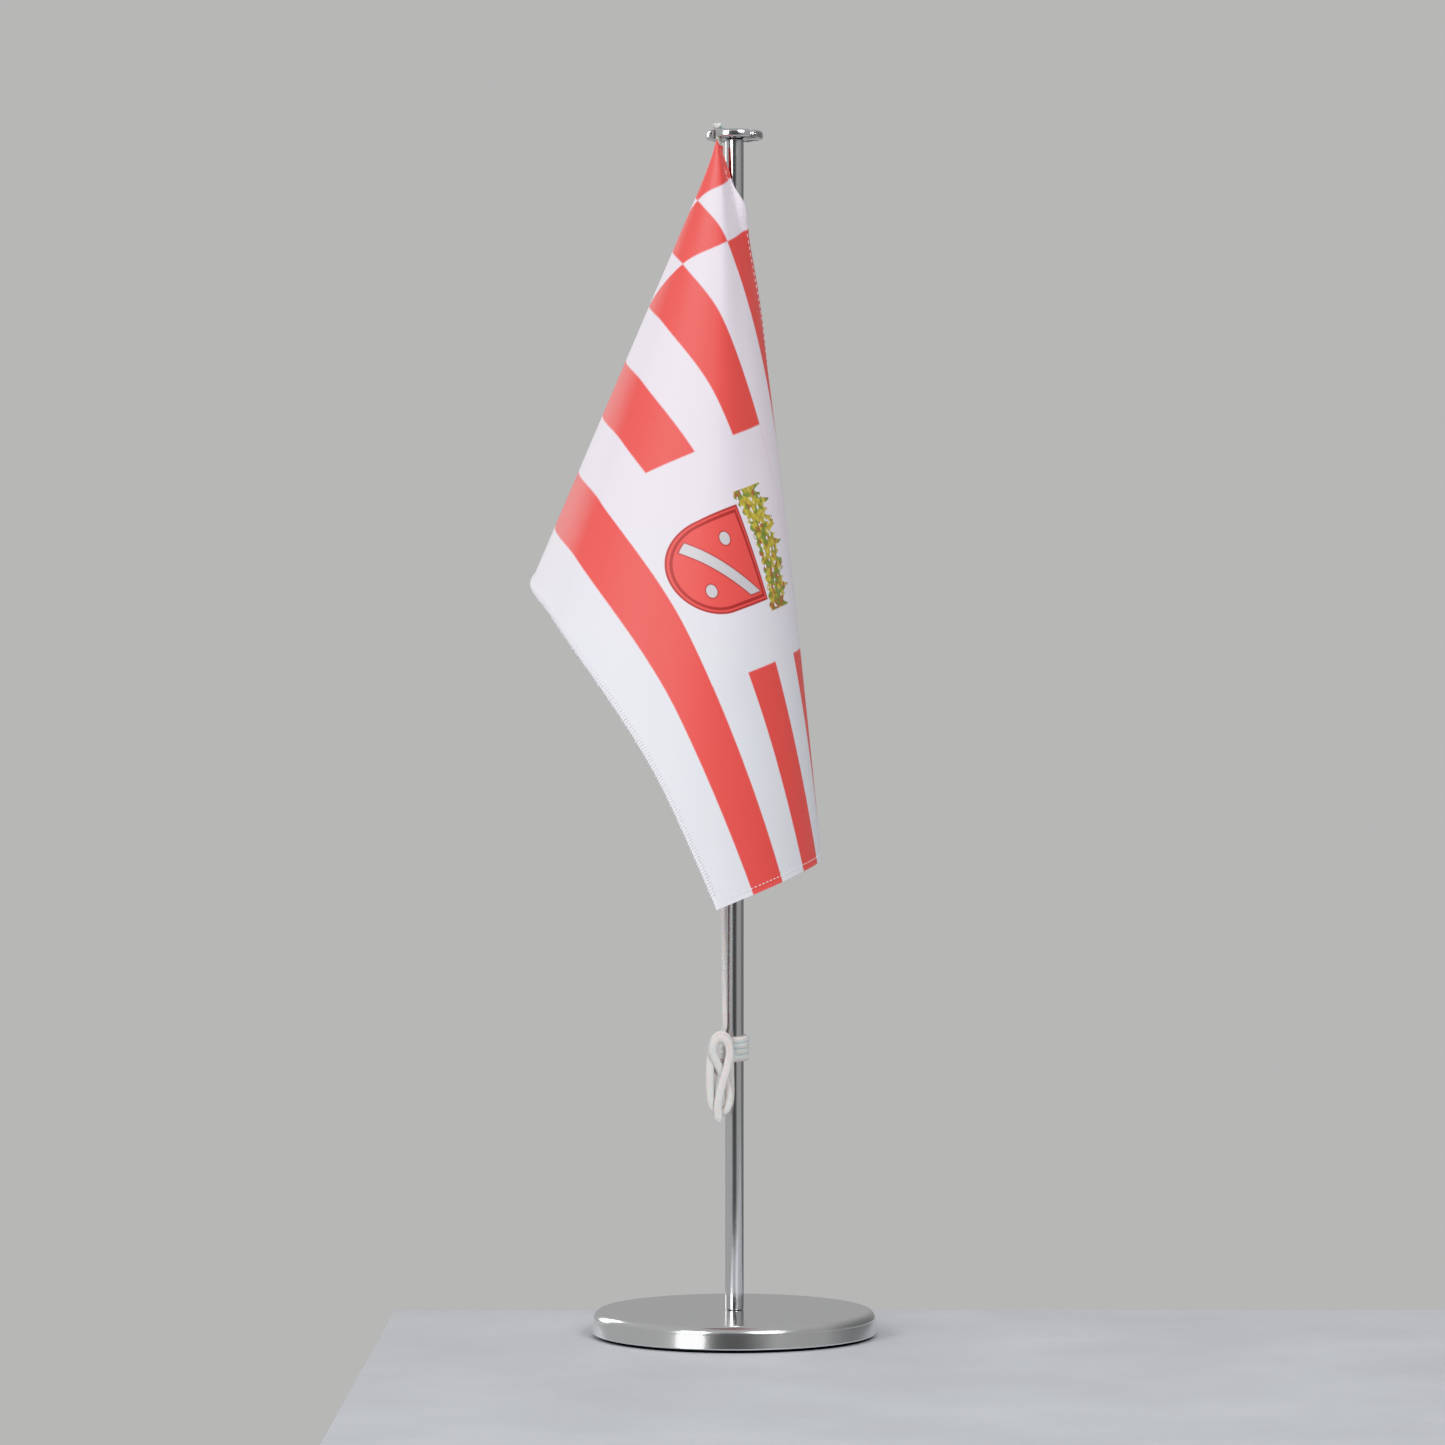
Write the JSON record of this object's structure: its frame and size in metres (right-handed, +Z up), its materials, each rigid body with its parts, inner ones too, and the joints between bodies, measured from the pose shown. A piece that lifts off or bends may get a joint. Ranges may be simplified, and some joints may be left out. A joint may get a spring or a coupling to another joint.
{
  "type": "desk flag stand",
  "caption": "Weighted round base, slim upright pole and slotted head disc that hold a draped satin table flag on a cord tied round the pole.",
  "frame": {"origin": "centre of the face the stand rests on, on the pole's axis", "axes": "+Z up along the pole, -Y towards the flag's printed side, +X to the right of someone facing it"},
  "size_m": [0.1195, 0.1807, 0.4251],
  "materials": {
    "chrome": "bright polished chrome plate",
    "steel": "zinc-plated turned steel",
    "cast_iron": "raw casting",
    "foam_rubber": "matt black foam rubber",
    "satin": "white polyester satin printed with red stripes",
    "thread": "white overlock thread",
    "cord": "glossy white braided cord"
  },
  "bodies": {
    "stand": {"base_cover": "chrome", "base_weight": "cast_iron", "base_pad": "foam_rubber", "base_screw": "steel", "base_flat_washer": "steel", "base_lock_washer": "steel", "pole_tube": "chrome", "pole_foot_insert": "steel", "pole_top_insert": "steel"},
    "head": {"head_stud": "steel", "head_disc": "chrome", "cord_knot": "cord", "cord_run": "cord", "cord_wrap": "cord", "cord_hank": "cord"},
    "flag": {"flag_cloth": "satin", "hoist_sleeve": "satin", "top_hem": "satin", "fly_hem": "satin", "bottom_hem": "thread"}
  },
  "joints": [
    {"name": "head_turn", "type": "hinge", "parent": "stand", "child": "head", "pos_m": [0, 0, 0.42], "axis": [0, 0, 1], "continuous": true},
    {"name": "flag_swing", "type": "hinge", "parent": "head", "child": "flag", "pos_m": [-0.0056, -0.00484, 0.4225], "axis": [-0.0068, -0.0059, 1], "range_deg": [-80, 0]}
  ]
}
